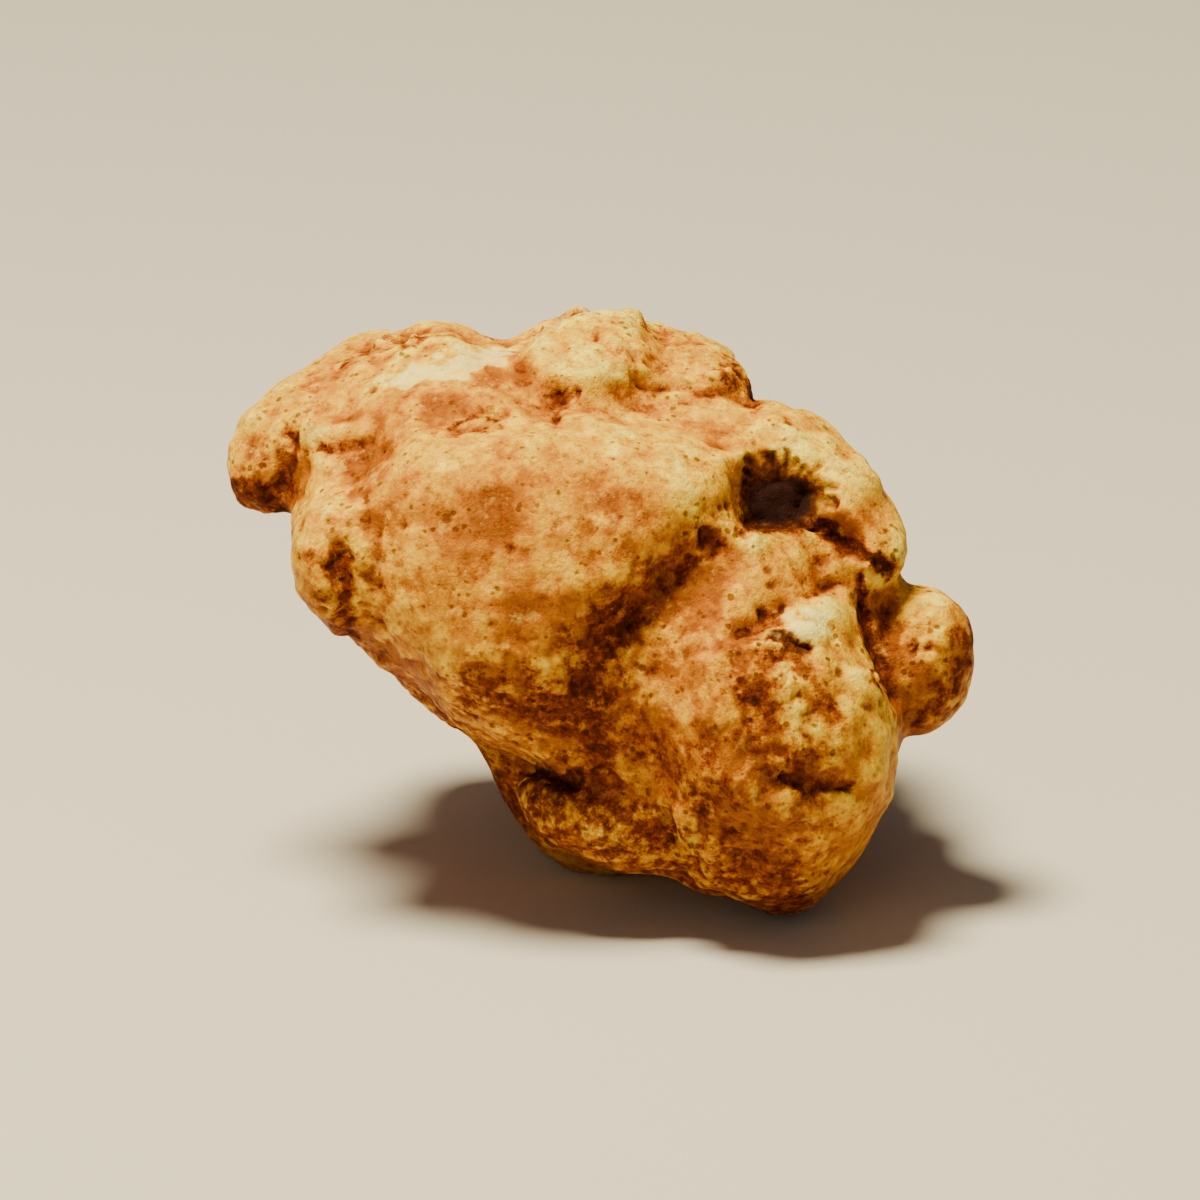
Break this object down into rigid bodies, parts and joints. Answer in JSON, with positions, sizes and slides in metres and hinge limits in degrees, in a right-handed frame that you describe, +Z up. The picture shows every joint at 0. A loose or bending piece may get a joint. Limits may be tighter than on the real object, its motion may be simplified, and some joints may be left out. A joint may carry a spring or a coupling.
{
  "type": "white truffle",
  "caption": "Whole white truffle, an irregular knobbly lump with clefts, a deep pit under a hooked lobe and a small flat spot that it rests on.",
  "frame": {"origin": "middle of the truffle's box, on the surface that it rests on", "axes": "+X along the longest way across, to the right as the picture shows it; +Z up, the shortest way; the side that the picture shows faces -Y"},
  "size_m": [0.0676, 0.0574, 0.0518],
  "materials": {
    "truffle skin": "thin dry satin skin, cream to ochre, speckled with brown, with soil left in the clefts and pits"
  },
  "bodies": {
    "root": {"truffle": "truffle skin"}
  },
  "joints": []
}
